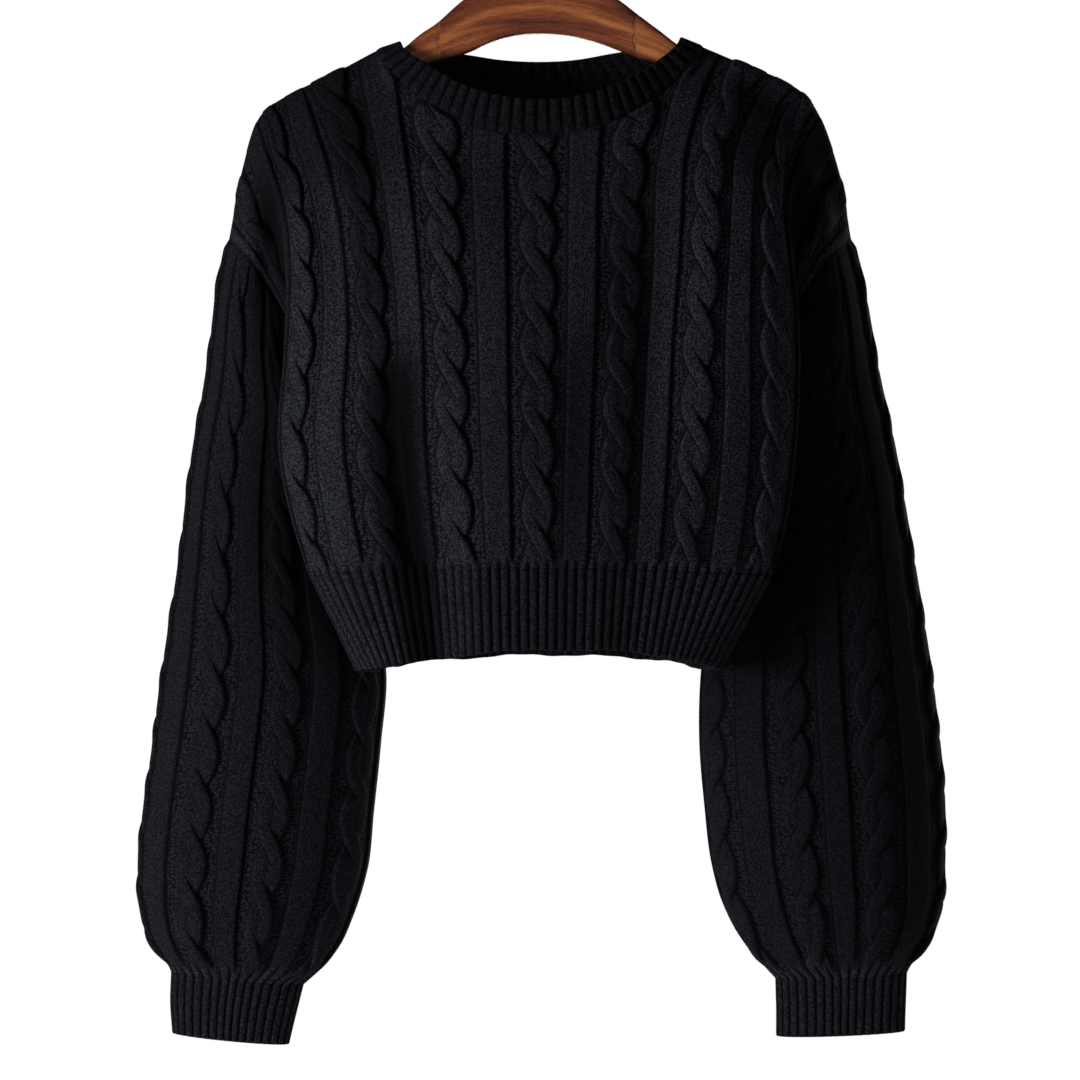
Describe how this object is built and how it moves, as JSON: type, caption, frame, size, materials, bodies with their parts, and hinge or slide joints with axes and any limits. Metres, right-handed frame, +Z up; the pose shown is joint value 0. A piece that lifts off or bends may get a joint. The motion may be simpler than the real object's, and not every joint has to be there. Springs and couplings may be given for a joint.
{
  "type": "cropped knit sweater on a hanger",
  "caption": "Cropped cable-knit pullover with a wide rounded neck, dropped shoulders, long full sleeves and ribbed bands, hung on a flat wooden hanger with a wire hook.",
  "frame": {"origin": "the hang point, at the top of the inside of the hanger's hook, where the hook rests on a rail", "axes": "+X to the viewer's right along the shoulders, +Y from the front of the sweater to its back, +Z up"},
  "size_m": [0.5903, 0.1795, 0.8555],
  "materials": {
    "yarn": "soft brushed knit, matt, near black with a slight cool cast",
    "rib_yarn": "matt ribbed knit of the same near-black yarn",
    "wood": "brown stained wood with a satin lacquer",
    "steel": "plain bright steel wire"
  },
  "bodies": {
    "root": {"front": "yarn", "back": "yarn", "sleeve_left": "yarn", "sleeve_right": "yarn", "hem_band": "rib_yarn", "neck_band": "rib_yarn", "cuff_left": "rib_yarn", "cuff_right": "rib_yarn", "hanger_wood": "wood", "hanger_hook": "steel"}
  },
  "joints": []
}
